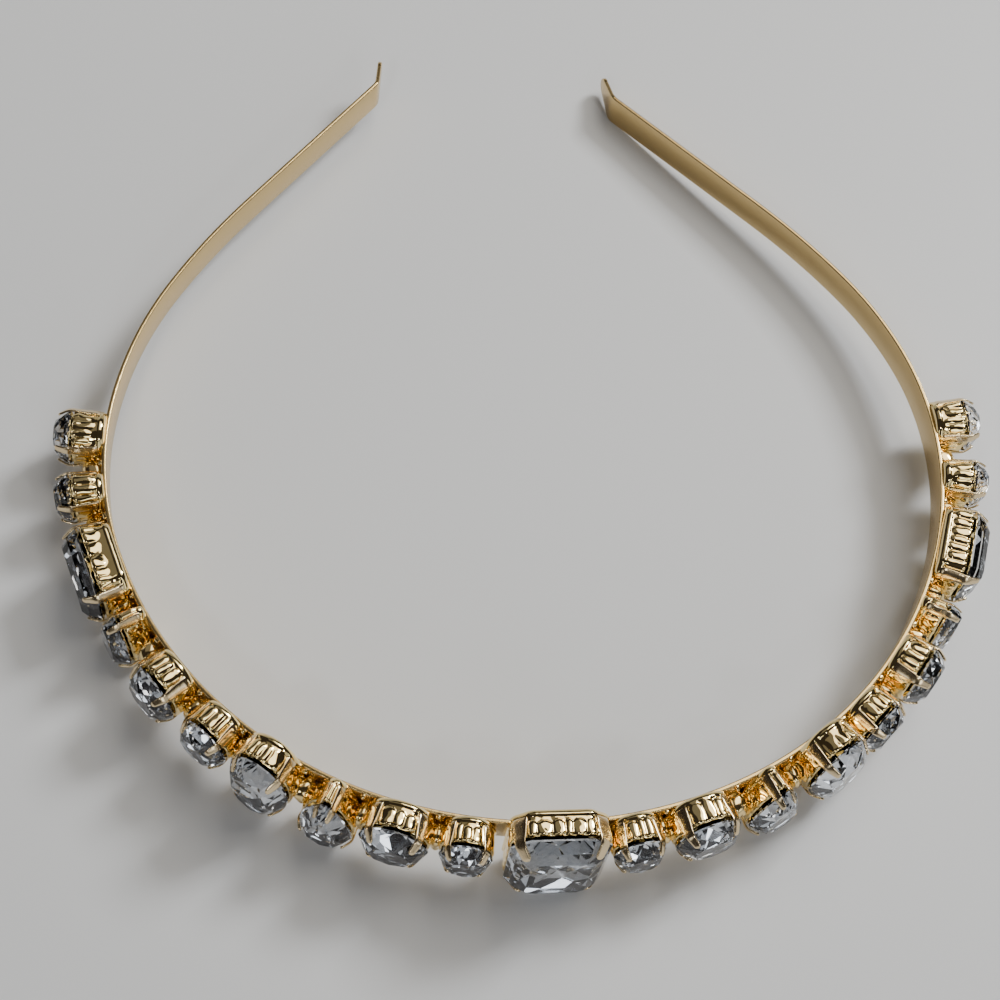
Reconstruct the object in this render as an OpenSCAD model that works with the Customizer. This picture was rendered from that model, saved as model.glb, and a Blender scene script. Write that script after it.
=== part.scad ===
// Jewelled headband: a flat sprung strip bent into an open hoop, with a row of clear cut stones held in
// pressed and fluted claw cups that are soldered along its front. It lies on its side, front towards -Y.
// Millimetres, +Z up.

/* [Strip] */
// Width of the strip, from its upper edge to its lower edge.
strip_w = 5.8; // [5:0.1:6.4]
// Thickness of the strip.
strip_t = 0.7; // [0.6:0.05:0.9]
// How far the open ends are bent edgewise, right end down and left end up, in degrees.
arm_drop = 2.0; // [0:0.1:3]
// Length of each outturned tip.
tip_len = 6.5; // [5:0.5:8]
// Angle at which the tips turn away from the head.
tip_turn = 35; // [20:1:45]
// Width of the strip where a tip ends.
tip_w = 3.6; // [3:0.1:4.4]

/* [Cups] */
// Height of the ridges pressed into the cup walls.
flute_h = 0.2; // [0.1:0.05:0.25]
// Distance from one ridge to the next.
flute_pitch = 1.3; // [1.1:0.1:1.6]
// Thickness of a cup wall inside its ridges.
wall_t = 0.55; // [0.45:0.05:0.6]
// Distance from the strip to the floor of a cup.
cup_floor = 1.0; // [0.9:0.1:1.2]
// Depth to which a cup is soldered into the strip.
solder_d = 0.45; // [0.4:0.05:0.5]
// Thickness of the claws.
claw_t = 0.45; // [0.35:0.05:0.5]

/* [Stones] */
// Clearance between a stone and the claws over it.
stone_gap = 0.1; // [0.1:0.02:0.2]
// Thickness of a stone's edge.
girdle_t = 0.25; // [0.2:0.05:0.3]
// How far a stone's edge stands above the lip of its cup.
girdle_lift = 0.55; // [0.5:0.05:0.7]
// Width of the sloping border round a stone's table, as a share of the stone's smaller size.
border_share = 0.2; // [0.18:0.01:0.24]

/* [Lying] */
// Tilt towards the front when it rests on a flat surface, in degrees.
lie_pitch = -2.03; // [-4:0.01:4]
// Roll to one side when it rests, in degrees.
lie_roll = -0.32; // [-4:0.01:4]

/* [Hidden] */
gold = [0.83, 0.68, 0.42];
clear_glass = [0.80, 0.83, 0.86];

// Half of the hoop as a chain of arcs along the inner face, from the middle of the front to the bend of the
// tip. A radius of 0 is a straight run.
// [length, radius]
arcs = [[28, 69.8], [28, 62.9], [28, 61.9], [28, 53.2], [20, 61.0], [20, 124.3], [33.1, 0]];
// Distance along the hoop at which the strip bends into its tips, and at which its arms begin.
strip_end = 185.1;
arm_from = 112;
// Pieces of the strip that meet at an angle run into each other by this much.
lap = 0.25;
plan_step = 4;
// Middle of the base of the space the whole takes up, seen from the middle of the front.
base_middle = [0.044, 65.329, -9.527];

// The centre stone, a little left of the hoop's middle, and the pairs of stones, counted outwards. Both
// halves hold the same stones, set at slightly different places.
// [place along the hoop, width, height, form, rise, lip depth, crown height]
centre = [-1.35, 14.2, 18.7, "octagon", 0, 3.6, 2.6];
// [distance on the left, distance on the right, width, height, form, rise, lip depth, crown height]
pairs = [
  [13.3, 9.8, 7.8, 8.8, "round", 0, 3.7, 2.0],
  [22.9, 19.35, 10.2, 10.0, "round", 0, 3.9, 2.2],
  [32.4, 30.2, 8.2, 13.0, "drop", -1.9, 3.6, 2.0],
  [42.3, 40.1, 10.0, 15.0, "round", 0, 3.8, 2.4],
  [51.6, 49.2, 8.4, 9.2, "round", 0, 3.8, 2.1],
  [61.4, 59.2, 9.2, 10.2, "round", 0, 4.0, 2.3],
  [71.6, 68.7, 6.8, 12.0, "drop", -1.8, 3.5, 1.9],
  [81.4, 79.8, 12.9, 10.6, "octagon", 0, 4.0, 2.4],
  [93.5, 91.8, 6.8, 8.8, "round", 0, 4.4, 2.0],
  [103.2, 101.7, 8.1, 9.0, "round", 0, 4.6, 2.2]];
// Row of the table and place along the hoop of the stone i on a side, -1 for left and 1 for right.
function pair(i) = let (c = pairs[i - 1]) [0, c[2], c[3], c[4], c[5], c[6], c[7]];
function pair_place(i, side) = side < 0 ? -pairs[i - 1][0] : pairs[i - 1][1];

// Angles of the four claws round a curved cup, from the side towards the top.
round_claws = [47, 133, 227, 313];
drop_claws = [62, 118, 214, 326];
// How strongly a drop narrows towards its point, and the factor that keeps its stated width.
drop_taper = 0.42;
drop_norm = 1.075;
// Share of an octagon's smaller size that each corner takes.
corner_share = 0.19;
// Part of a corner's leg lost for each millimetre of inset.
corner_inset = 2 - sqrt(2);

// Distances from the strip that shape the rounded back of a cup, and the insets there.
back_steps = [[-solder_d, 0.5, 0.8], [0.15, 0.95, 0.3]]; // [from, to, inset]
wall_from = 0.7;
// Step of the angle in a smooth curved outline.
outline_step = 10;

// A claw's width is this share of the stone's smaller size and this much more. Its foot reaches so far into
// the wall, and its outer face stands back from its full thickness by so much.
claw_share = 0.18;
claw_more = 0.2;
claw_root = 0.25;
claw_back = 0.2;

// Inset of a stone at its edge. The middle ring of its upper facets lies at shares of the border and of the
// crown. Below the edge come a seat, a waist and a small flat end.
edge_inset = 0.05;
mid_ring = [0.42, 0.6]; // [share of the border, share of the crown's height]
seat = [0.7, 0.15]; // [inset, height above the lip]
waist = [0.18, 0.55]; // [share of the smaller size, share of the lip's depth]
end_flat = [0.3, 0.25]; // [share of the smaller size, height above the cup's floor]
stone_sides = 16;

function turn(len, rad) = rad == 0 ? 0 : len / rad * 180 / PI;
function go(p, a, len, rad) = rad == 0
  ? p + len * [cos(a), sin(a)]
  : p + rad * [sin(a + turn(len, rad)) - sin(a), cos(a) - cos(a + turn(len, rad))];
// Point and heading at the start of arc i.
function start(i) = i == 0 ? [[0, 0], 0] :
  let (q = start(i - 1), c = arcs[i - 1])
  [go(q[0], q[1], c[0], c[1]), q[1] + turn(c[0], c[1])];
// Point and heading at the distance s from the middle of the front.
function place(s, i = 0) = i == len(arcs) - 1 || s <= arcs[i][0]
  ? let (q = start(i)) [go(q[0], q[1], s, arcs[i][1]), q[1] + turn(s, arcs[i][1])]
  : place(s - arcs[i][0], i + 1);

// Corners of an octagon of width w and height h, moved inwards by e.
function octagon(w, h, e) =
  let (a = w / 2 - e, b = h / 2 - e, c = corner_share * min(w, h) - corner_inset * e)
  [[a, c - b], [a, b - c], [a - c, b], [c - a, b], [-a, b - c], [-a, c - b], [c - a, -b], [a - c, -b]];
// Point of a curved outline at the angle t.
function bend(form, w, h, t) = form == "drop"
  ? [w / 2 * cos(t) * (1 - drop_taper * sin(t)) / drop_norm, h / 2 * sin(t)]
  : [w / 2 * cos(t), h / 2 * sin(t)];
// Outward normal there.
function bend_out(form, w, h, t) =
  let (d = bend(form, w, h, t + 1) - bend(form, w, h, t - 1)) [d[1], -d[0]] / norm(d);
function round_len(w, h) = PI * (w + h) / 2;
// Height of a ridge: one low point, then two high ones.
function ridge(i) = i % 3 == 0 ? 0 : flute_h;
// Ridged outline of a cup.
function fluted(form, w, h) = form == "octagon"
  ? let (c = octagon(w, h, 0)) [for (j = [0:7])
      let (p = c[j], q = c[(j + 1) % 8], d = q - p, n = 3 * max(1, round(norm(d) / flute_pitch)))
      for (i = [0:n - 1]) p + d * i / n + [d[1], -d[0]] / norm(d) * ridge(i)]
  : let (n = 3 * round(round_len(w, h) / flute_pitch)) [for (i = [0:n - 1])
      bend(form, w, h, 360 * i / n) + bend_out(form, w, h, 360 * i / n) * ridge(i)];
// Smooth outline moved inwards by e.
function inset(form, w, h, e) = form == "octagon"
  ? octagon(w, h, e)
  : [for (t = [0:outline_step:360 - outline_step]) bend(form, w - 2 * e, h - 2 * e, t)];
// Ring of a stone: inset by e, turned by half a side where half is 1.
function ring(form, w, h, e, half) = form == "octagon"
  ? octagon(w, h, e)
  : [for (i = [0:stone_sides - 1])
      bend(form, w, h, 360 * (i + half / 2) / stone_sides) * (1 - 2 * e / min(w, h))];
// Inset along the normal n at the point p that a ring's inset e gives.
function local_inset(form, w, h, e, p, n) = form == "octagon" ? e : 2 * e / min(w, h) * (p * n);

// Moves a shape built outwards along +Z to the strip, at the distance s from the middle of the front.
module on_strip(s) {
  q = place(abs(s));
  side = s < 0 ? -1 : 1;
  translate([side * q[0][0], q[0][1], 0])
    rotate([0, 0, side * q[1]])
      translate([0, -strip_t, 0])
        rotate([90, 0, 0]) children();
}

// Plan of the strip between the distances s0 and s1 on the right, from its inner to its outer face.
function plan(s0, s1) =
  let (n = ceil((s1 - s0) / plan_step), row = [for (i = [0:n]) place(s0 + (s1 - s0) * i / n)])
  concat([for (q = row) q[0]],
    [for (i = [n:-1:0]) row[i][0] + strip_t * [sin(row[i][1]), -cos(row[i][1])]]);

module strip_run(s0, s1) {
  translate([0, 0, -strip_w / 2]) linear_extrude(strip_w) polygon(plan(s0, s1));
}

// The tip that turns away from the head and narrows to a rounded end.
module tip() {
  e = start(len(arcs));
  r = tip_w / 2;
  translate([e[0][0], e[0][1], 0])
    rotate([0, 0, e[1] - tip_turn])
      rotate([90, 0, 0])
        linear_extrude(strip_t) {
          polygon([[-lap, -strip_w / 2], [tip_len - r, -r], [tip_len - r, r], [-lap, strip_w / 2]]);
          translate([tip_len - r, 0]) circle(r, $fn = 32);
        }
}

// The arm behind the widest point, on the right, bent edgewise by drop.
module arm(drop) {
  hinge = place(arm_from)[0];
  translate([0, hinge[1], 0])
    rotate([-drop, 0, 0])
      translate([0, -hinge[1], 0]) {
        strip_run(arm_from - lap, strip_end);
        tip();
      }
}

module strip() {
  translate([0, 0, -strip_w / 2])
    linear_extrude(strip_w) {
      polygon(plan(0, arm_from));
      mirror([1, 0, 0]) polygon(plan(0, arm_from));
    }
  arm(arm_drop);
  mirror([1, 0, 0]) arm(-arm_drop);
}

// Inset and depth at the middle ring of a stone's upper facets, for a cup with the given lip and crown.
function mid_inset(w, h) = edge_inset + mid_ring[0] * (border_share * min(w, h) - edge_inset);
function crown_from(lip) = lip + girdle_lift + girdle_t;
function mid_depth(lip, crown) = crown_from(lip) + mid_ring[1] * crown;

// A claw at the outline point p with the outward normal n: a tapering strap that rises beside the wall and
// bends over the stone's border.
module claw(form, w, h, lip, crown, p, n) {
  low = [-local_inset(form, w, h, edge_inset, p, n), crown_from(lip)];
  high = [-local_inset(form, w, h, mid_inset(w, h), p, n), mid_depth(lip, crown)];
  d = high - low;
  out = [d[1], -d[0]] / norm(d);
  base_w = claw_share * min(w, h) + claw_more;
  face = claw_t - claw_back;
  top = high[1] + claw_t * 2;
  taper_from = lip - 1;
  side = [
    [-claw_root, wall_from], [face, wall_from + claw_back], [face, low[1]],
    low + out * (stone_gap + claw_t), high + out * (stone_gap + claw_t - claw_back / 2),
    high + out * stone_gap, low + out * stone_gap,
    [low[0] + stone_gap, low[1] - girdle_t], [-claw_root, lip - claw_root]];
  translate(p)
    rotate([0, 0, atan2(n[1], n[0])])
      intersection() {
        rotate([90, 0, 0]) linear_extrude(base_w, center = true) polygon(side);
        rotate([90, 0, 90])
          linear_extrude(w, center = true)
            polygon([[-base_w / 2, 0], [base_w / 2, 0], [base_w / 2, taper_from],
              [base_w / 4, top], [-base_w / 4, top], [-base_w / 2, taper_from]]);
      }
}

// A pressed cup with its four claws, built outwards from the strip's outer face.
module cup(c) {
  w = c[1];
  h = c[2];
  form = c[3];
  lip = c[5];
  translate([0, c[4], 0]) {
    difference() {
      union() {
        for (b = back_steps)
          translate([0, 0, b[0]]) linear_extrude(b[1] - b[0]) polygon(inset(form, w, h, b[2]));
        translate([0, 0, wall_from]) linear_extrude(lip - wall_from) polygon(fluted(form, w, h));
      }
      translate([0, 0, cup_floor]) linear_extrude(lip) polygon(inset(form, w, h, wall_t));
    }
    if (form == "octagon") {
      o = octagon(w, h, 0);
      for (j = [1, 3, 5, 7]) {
        q = o[(j + 1) % 8];
        d = q - o[j];
        claw(form, w, h, lip, c[6], (o[j] + q) / 2, [d[1], -d[0]] / norm(d));
      }
    } else
      for (t = form == "drop" ? drop_claws : round_claws)
        claw(form, w, h, lip, c[6], bend(form, w, h, t), bend_out(form, w, h, t));
  }
}

// A cut stone: table, two rows of crown facets, edge, and a back that narrows into the cup.
module stone(c) {
  w = c[1];
  h = c[2];
  form = c[3];
  lip = c[5];
  small = min(w, h);
  // [inset, distance from the strip, turned by half a side]
  rings = [
    [border_share * small, crown_from(lip) + c[6], 1],
    [mid_inset(w, h), mid_depth(lip, c[6]), 0],
    [edge_inset, crown_from(lip), 1],
    [edge_inset, lip + girdle_lift, 1],
    [seat[0], lip + seat[1], 1],
    [waist[0] * small, waist[1] * lip, 0],
    [end_flat[0] * small, cup_floor + end_flat[1], 1]];
  n = form == "octagon" ? 8 : stone_sides;
  points = [for (r = rings) for (p = ring(form, w, h, r[0], r[2])) [p[0], p[1], r[1]]];
  last = len(rings) - 1;
  // Between two rings: quadrilaterals where their corners face each other, otherwise triangles.
  function side_faces(k) = [for (i = [0:n - 1])
    let (j = (i + 1) % n, a = k * n, b = (k + 1) * n, u = rings[k][2], v = rings[k + 1][2])
    for (f = form == "octagon" || u == v ? [[a + i, a + j, b + j, b + i]]
      : u == 1 ? [[a + i, b + j, b + i], [a + i, a + j, b + j]]
      : [[a + i, a + j, b + i], [a + j, b + j, b + i]]) f];
  faces = concat([[for (i = [n - 1:-1:0]) i]], [for (k = [0:last - 1]) for (f = side_faces(k)) f],
    [[for (i = [0:n - 1]) last * n + i]]);
  translate([0, c[4], 0]) polyhedron(points, faces);
}

// The whole headband as it lies on a flat surface, with its base's middle at the origin.
module lying() {
  translate(-base_middle) rotate([lie_pitch, lie_roll, 0]) children();
}

module hoop() {
  color(gold) lying() {
    strip();
    on_strip(centre[0]) cup(centre);
    for (i = [1:len(pairs)], side = [-1, 1]) on_strip(pair_place(i, side)) cup(pair(i));
  }
}

module centre_stone() {
  color(clear_glass) lying() on_strip(centre[0]) stone(centre);
}

module pair_stone(i, side) {
  color(clear_glass) lying() on_strip(pair_place(i, side)) stone(pair(i));
}

hoop();
centre_stone();
pair_stone(1, -1);  // left_stone_1
pair_stone(2, -1);  // left_stone_2
pair_stone(3, -1);  // left_stone_3
pair_stone(4, -1);  // left_stone_4
pair_stone(5, -1);  // left_stone_5
pair_stone(6, -1);  // left_stone_6
pair_stone(7, -1);  // left_stone_7
pair_stone(8, -1);  // left_stone_8
pair_stone(9, -1);  // left_stone_9
pair_stone(10, -1);  // left_stone_10
pair_stone(1, 1);  // right_stone_1
pair_stone(2, 1);  // right_stone_2
pair_stone(3, 1);  // right_stone_3
pair_stone(4, 1);  // right_stone_4
pair_stone(5, 1);  // right_stone_5
pair_stone(6, 1);  // right_stone_6
pair_stone(7, 1);  // right_stone_7
pair_stone(8, 1);  // right_stone_8
pair_stone(9, 1);  // right_stone_9
pair_stone(10, 1);  // right_stone_10
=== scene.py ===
# %% [markdown]
# # A jewelled headband
# A narrow strip of gilded metal is bent into a springy open hoop. Along its front, twenty-one pressed cups
# hold clear cut stones. It lies on its side, as it does when it is put down.
#
# Every piece here is worked out as a surface with numpy and handed to Blender as a mesh. The solids of the
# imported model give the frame: the pieces below stand for them, and each sits where its solid sits.

# %% Load the frame
import bpy
import numpy as np
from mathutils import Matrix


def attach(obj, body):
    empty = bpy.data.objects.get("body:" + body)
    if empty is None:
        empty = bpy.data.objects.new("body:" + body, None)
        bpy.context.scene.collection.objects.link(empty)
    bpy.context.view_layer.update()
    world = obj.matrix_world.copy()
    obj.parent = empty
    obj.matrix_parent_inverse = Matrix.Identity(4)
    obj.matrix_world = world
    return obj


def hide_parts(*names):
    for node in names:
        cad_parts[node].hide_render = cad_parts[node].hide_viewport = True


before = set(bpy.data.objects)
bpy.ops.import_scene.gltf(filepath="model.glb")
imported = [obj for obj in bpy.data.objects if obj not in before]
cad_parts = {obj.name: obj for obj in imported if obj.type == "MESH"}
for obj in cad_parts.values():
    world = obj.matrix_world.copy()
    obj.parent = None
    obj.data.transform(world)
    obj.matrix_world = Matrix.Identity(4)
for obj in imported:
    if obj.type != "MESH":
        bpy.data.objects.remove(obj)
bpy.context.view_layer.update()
print("solids in the frame:", len(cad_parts))

# %% [markdown]
# ## Camera
# The headband is seen from above its front, with the camera rolled a little. Three angles turn the camera:
# to the right, down, and round its own axis. Its matrix is built from the three directions that they give,
# because that keeps the picture's frame exact. Lengths of the headband and places of the camera are given
# in millimetres, and MM turns them into Blender's metres.

# %% Camera
MM = 0.001
CAMERA_PLACE = np.array([-36.4, -135.8, 257.8])
CAMERA_YAW, CAMERA_DOWN, CAMERA_ROLL = np.radians([14.23, 63.09, 11.34])
LENS, FILM_WIDTH, NEAREST = 65.2, 36.0, 10.0


def camera_axes(yaw, down, roll):
    """Forward turns right by yaw and down by down; right and up then roll round it."""
    forward = np.array([np.sin(yaw) * np.cos(down), np.cos(yaw) * np.cos(down), -np.sin(down)])
    level = np.array([np.cos(yaw), -np.sin(yaw), 0.0])
    upright = np.cross(level, forward)
    right = np.cos(roll) * level + np.sin(roll) * upright
    up = np.cos(roll) * upright - np.sin(roll) * level
    return right, up, forward


right, up, forward = camera_axes(CAMERA_YAW, CAMERA_DOWN, CAMERA_ROLL)
matrix = np.eye(4)
matrix[:3, 0], matrix[:3, 1], matrix[:3, 2] = right, up, -forward
matrix[:3, 3] = CAMERA_PLACE * MM
lens = bpy.data.cameras.new("camera")
lens.lens, lens.sensor_width, lens.clip_start = LENS, FILM_WIDTH, NEAREST * MM
camera = bpy.data.objects.new("camera", lens)
camera.matrix_world = matrix.T.tolist()
bpy.context.scene.collection.objects.link(camera)
bpy.context.scene.camera = camera
print("camera looks at", np.round(CAMERA_PLACE + forward * CAMERA_PLACE[2] / -forward[2], 1), "mm")

# %% [markdown]
# ## Meshes from arrays
# A surface is a grid of points, and its faces follow from the grid's own numbering. Here the grid is always
# a row of closed rings, so one helper numbers the faces between rings, one closes both ends with a fan, one
# joins several surfaces, and one makes a Blender object. Faces are kept as a list of whole arrays, each with
# one row of corner numbers for each face, so no loop visits a point.

# %% Mesh helpers
def ring_faces(rings, around):
    """Quadrilaterals between closed rings: corner (i, j) joins (i, j+1), (i+1, j+1) and (i+1, j)."""
    i, j = np.meshgrid(np.arange(rings - 1), np.arange(around), indexing="ij")
    k = (j + 1) % around
    corners = [i * around + j, i * around + k, (i + 1) * around + k, (i + 1) * around + j]
    return np.stack(corners, -1).reshape(-1, 4)


def skin(rings):
    """Closed surface over rings of shape (R, N, 3): quadrilaterals between them, a fan at each end."""
    r, n = rings.shape[:2]
    points = np.concatenate([rings.reshape(-1, 3), rings[:1].mean(1), rings[-1:].mean(1)])
    quads = ring_faces(r, n)
    j = np.arange(n)
    k = (j + 1) % n
    first = np.stack([k, j, np.full(n, r * n)], -1)
    last = np.stack([(r - 1) * n + j, (r - 1) * n + k, np.full(n, r * n + 1)], -1)
    return points, [quads, first, last]


def join(shapes):
    """Points and faces of several shapes as those of one, with each shape's numbering moved along."""
    points, faces, start = [], [], 0
    for p, blocks in shapes:
        points.append(p)
        faces += [block + start for block in blocks]
        start += len(p)
    return np.concatenate(points), faces


def count(faces):
    """Number of faces in a list of arrays."""
    return sum(len(block) for block in faces)


def new_piece(name, points, faces, materials, face_slots=None, smooth=True, marks=None):
    """Object with its points in millimetres put into the mesh in metres, at the origin and unturned."""
    mesh = bpy.data.meshes.new(name)
    mesh.from_pydata((points * MM).tolist(), [], [face for block in faces for face in block.tolist()])
    for material in materials:
        mesh.materials.append(material)
    if face_slots is not None:
        mesh.polygons.foreach_set("material_index", face_slots)
    mesh.polygons.foreach_set("use_smooth", np.full(len(mesh.polygons), smooth))
    for key, values in (marks or {}).items():
        mesh.attributes.new(key, "FLOAT", "POINT").data.foreach_set("value", values)
    mesh.validate()
    piece = bpy.data.objects.new(name, mesh)
    bpy.context.scene.collection.objects.link(piece)
    return piece


print("a skin over 3 rings of 8 points has", count(skin(np.zeros((3, 8, 3)))[1]), "faces")

# %% [markdown]
# ## The line of the hoop
# The strip's inner face follows a chain of arcs from the middle of the front to the bend of each tip. The
# heading at a distance along it is the sum of the turning so far, and the place is the sum of the steps
# taken in those headings. A drawn curve object could do it too, but arcs are how such a strip is bent, and
# they keep its length exact. Averaging the heading over a few millimetres takes the sudden changes of curve
# out of the reflections, as the spring of real metal does.

# %% Hoop line
# [length, radius] of each arc, from the middle of the front to the bend of a tip
ARCS = np.array([[28, 69.8], [28, 62.9], [28, 61.9], [28, 53.2], [20, 61.0], [20, 124.3], [33.1, np.inf]])
STRIP_WIDTH, STRIP_THICK = 5.8, 0.7
TIP_LENGTH, TIP_TURN, TIP_WIDTH, TIP_BEND = 6.5, np.radians(35), 3.6, 2.4
ARM_FROM, ARM_BLEND, ARM_DROP = 112.0, 8.0, np.radians(2.0)
LIE_PITCH, LIE_ROLL = np.radians([-2.03, -0.32])
BASE_MIDDLE = np.array([0.044, 65.329, -9.527])
STRIP_END = ARCS[:, 0].sum()
WALK_REACH, STEP, AVERAGED_STEPS = 200, 0.05, 121


def smooth_step(x):
    """0 below 0, 1 above 1, and 3x^2 - 2x^3 between."""
    x = np.clip(x, 0, 1)
    return x * x * (3 - 2 * x)


def side_arm(s):
    """How far the edgewise bend of an arm has come in, 0 at the front and 1 behind the widest point."""
    return smooth_step((np.abs(s) - ARM_FROM + ARM_BLEND / 2) / ARM_BLEND)


walk = np.arange(-WALK_REACH, WALK_REACH + STEP / 2, STEP)
knots = np.concatenate([[0], np.cumsum(ARCS[:, 0]), [WALK_REACH]])
turned = np.concatenate([[0], np.cumsum(ARCS[:, 0] / ARCS[:, 1])])
turned = np.append(turned, turned[-1])
raw = np.sign(walk) * np.interp(np.abs(walk), knots, turned)
window = np.ones(AVERAGED_STEPS) / AVERAGED_STEPS
heading = np.convolve(np.pad(raw, AVERAGED_STEPS // 2, mode="edge"), window, "valid")
heading -= np.sign(walk) * TIP_TURN * smooth_step((np.abs(walk) - STRIP_END + TIP_BEND / 2) / TIP_BEND)
middle = len(walk) // 2
line = np.stack([np.cos(heading), np.sin(heading)], -1) * STEP
line = np.cumsum(line, 0)
line -= line[middle]
lean = -np.sign(walk) * ARM_DROP * side_arm(walk)
rise = np.cumsum(np.gradient(line[:, 1]) * np.tan(lean))
rise -= rise[middle]
print("half width of the hoop", round(line[:, 0].max(), 2), "mm")


def along_strip(s):
    """Place on the inner face, and the directions along, outwards and up, at the distances s."""
    h = np.interp(s, walk, heading)
    a = np.interp(s, walk, lean)
    place = np.stack([np.interp(s, walk, line[:, 0]), np.interp(s, walk, line[:, 1]),
                      np.interp(s, walk, rise)], -1)
    outward = np.stack([np.sin(h), -np.cos(h) * np.cos(a), -np.cos(h) * np.sin(a)], -1)
    upward = np.stack([0 * h, -np.sin(a), np.cos(a)], -1)
    return place, np.cross(upward, outward), outward, upward


def lying(points):
    """Turn by the pitch about x, then by the roll about y, and bring the base's middle to the origin."""
    cp, sp, cr, sr = np.cos(LIE_PITCH), np.sin(LIE_PITCH), np.cos(LIE_ROLL), np.sin(LIE_ROLL)
    about_x = np.array([[1, 0, 0], [0, cp, -sp], [0, sp, cp]])
    about_y = np.array([[cr, 0, sr], [0, 1, 0], [-sr, 0, cr]])
    return points @ (about_y @ about_x).T - BASE_MIDDLE


# %% [markdown]
# ## Finishes
# No polished thing is polished quite evenly, and the tone of gilding wanders a little from place to place.
# Its hollows are also painted darker than its ridges, as painted shade. Several materials share these
# effects, so each is a node group that is built once and placed in a material with its own values.
# Everything is worked out from the object's own coordinates or map, so it stays on the metal when the view
# turns.

# %% Shader helpers
def add(tree, kind, **values):
    """New node of a kind, with plain settings and input values given by name."""
    node = tree.nodes.new(kind)
    for key, value in values.items():
        if key in node.inputs:
            node.inputs[key].default_value = value
        else:
            setattr(node, key, value)
    return node


def group(name, inputs, outputs):
    """Empty node group with named number inputs and outputs."""
    tree = bpy.data.node_groups.new(name, "ShaderNodeTree")
    for key, value in inputs.items():
        tree.interface.new_socket(key, in_out="INPUT", socket_type="NodeSocketFloat").default_value = value
    for key in outputs:
        tree.interface.new_socket(key, in_out="OUTPUT", socket_type="NodeSocketFloat")
    return tree, tree.nodes.new("NodeGroupInput"), tree.nodes.new("NodeGroupOutput")


def use(tree, node_group, **values):
    """The group placed in a material with its own values."""
    node = tree.nodes.new("ShaderNodeGroup")
    node.node_tree = node_group
    for key, value in values.items():
        node.inputs[key].default_value = value
    return node


def start_material(name):
    """New material with nodes, its node tree and its Principled shader."""
    material = bpy.data.materials.new(name)
    material.use_nodes = True
    return material, material.node_tree, material.node_tree.nodes["Principled BSDF"]


def two_colours(tree, amount, low, high):
    """Colour ramp between two stops, each (place, colour), driven by an amount."""
    ramp = add(tree, "ShaderNodeValToRGB")
    for stop, (place, colour) in zip(ramp.color_ramp.elements, (low, high)):
        stop.position = place
        stop.color = (*colour, 1)
    tree.links.new(amount, ramp.inputs["Fac"])
    return ramp.outputs["Color"]


def maths(tree, operation, a, b):
    """Arithmetic node whose two terms are sockets or plain numbers."""
    node = tree.nodes.new("ShaderNodeMath")
    node.operation = operation
    for i, term in enumerate((a, b)):
        if isinstance(term, bpy.types.NodeSocket):
            tree.links.new(term, node.inputs[i])
        else:
            node.inputs[i].default_value = term
    return node.outputs[0]


# %% Polish group
GRIT_SCALE, GRIT_SHARE = 6000.0, 0.15
polish, polish_in, polish_out = group("uneven polish", {"Scale": 900.0, "Base": 0.12, "Spread": 0.1},
                                      ["Roughness", "Height"])
spot = add(polish, "ShaderNodeTexCoord")
cloud = add(polish, "ShaderNodeTexNoise", Detail=4.0, Roughness=0.6)
grit = add(polish, "ShaderNodeTexNoise", Detail=2.0, Scale=GRIT_SCALE)
polish.links.new(spot.outputs["Object"], cloud.inputs["Vector"])
polish.links.new(spot.outputs["Object"], grit.inputs["Vector"])
polish.links.new(polish_in.outputs["Scale"], cloud.inputs["Scale"])
spread = maths(polish, "MULTIPLY", cloud.outputs["Fac"], polish_in.outputs["Spread"])
polish.links.new(maths(polish, "ADD", spread, polish_in.outputs["Base"]), polish_out.inputs["Roughness"])
fine_grit = maths(polish, "MULTIPLY", grit.outputs["Fac"], GRIT_SHARE)
polish.links.new(maths(polish, "ADD", cloud.outputs["Fac"], fine_grit), polish_out.inputs["Height"])
print("group:", polish.name)

# %% Uneven tone and painted hollow shade group
# A mesh carries an attribute from 0 in a hollow to 1 on a crest; a low value gets painted shade.
CLOUD_SHARE, RIDGE_SHARE = 0.35, 0.75
tone_and_shade, tone_and_shade_in, tone_and_shade_out = group("rubbed ridges", {"Scale": 260.0}, ["Brightness"])
spot = add(tone_and_shade, "ShaderNodeTexCoord")
cloud = add(tone_and_shade, "ShaderNodeTexNoise", Detail=3.0)
mark = add(tone_and_shade, "ShaderNodeAttribute", attribute_name="ridge")
tone_and_shade.links.new(spot.outputs["Object"], cloud.inputs["Vector"])
tone_and_shade.links.new(tone_and_shade_in.outputs["Scale"], cloud.inputs["Scale"])
drift = maths(tone_and_shade, "MULTIPLY", cloud.outputs["Fac"], CLOUD_SHARE)
crest = maths(tone_and_shade, "MULTIPLY", mark.outputs["Fac"], RIDGE_SHARE)
tone_and_shade.links.new(maths(tone_and_shade, "ADD", drift, crest), tone_and_shade_out.inputs["Brightness"])
print("group:", tone_and_shade.name)

# %% [markdown]
# ## Gilding
# One recipe serves all the gilded metal, and the values tell its parts apart. The pressed cups are almost a
# mirror. The claws are duller, since they were bent over by hand. The strip is rolled and brushed along its
# length, so its noise is stretched along the unrolled strip. The solder between the cups is a little soft.

# %% Gilding
BUMP_DEPTH = 0.05
RIDGE_SCALE = 260.0
# The first stop ends the darker hollow colour, which is painted shade; the second starts the metal's own
# colour.
SHADED_HOLLOW_STOP, RIDGE_STOP = 0.15, 0.8


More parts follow.
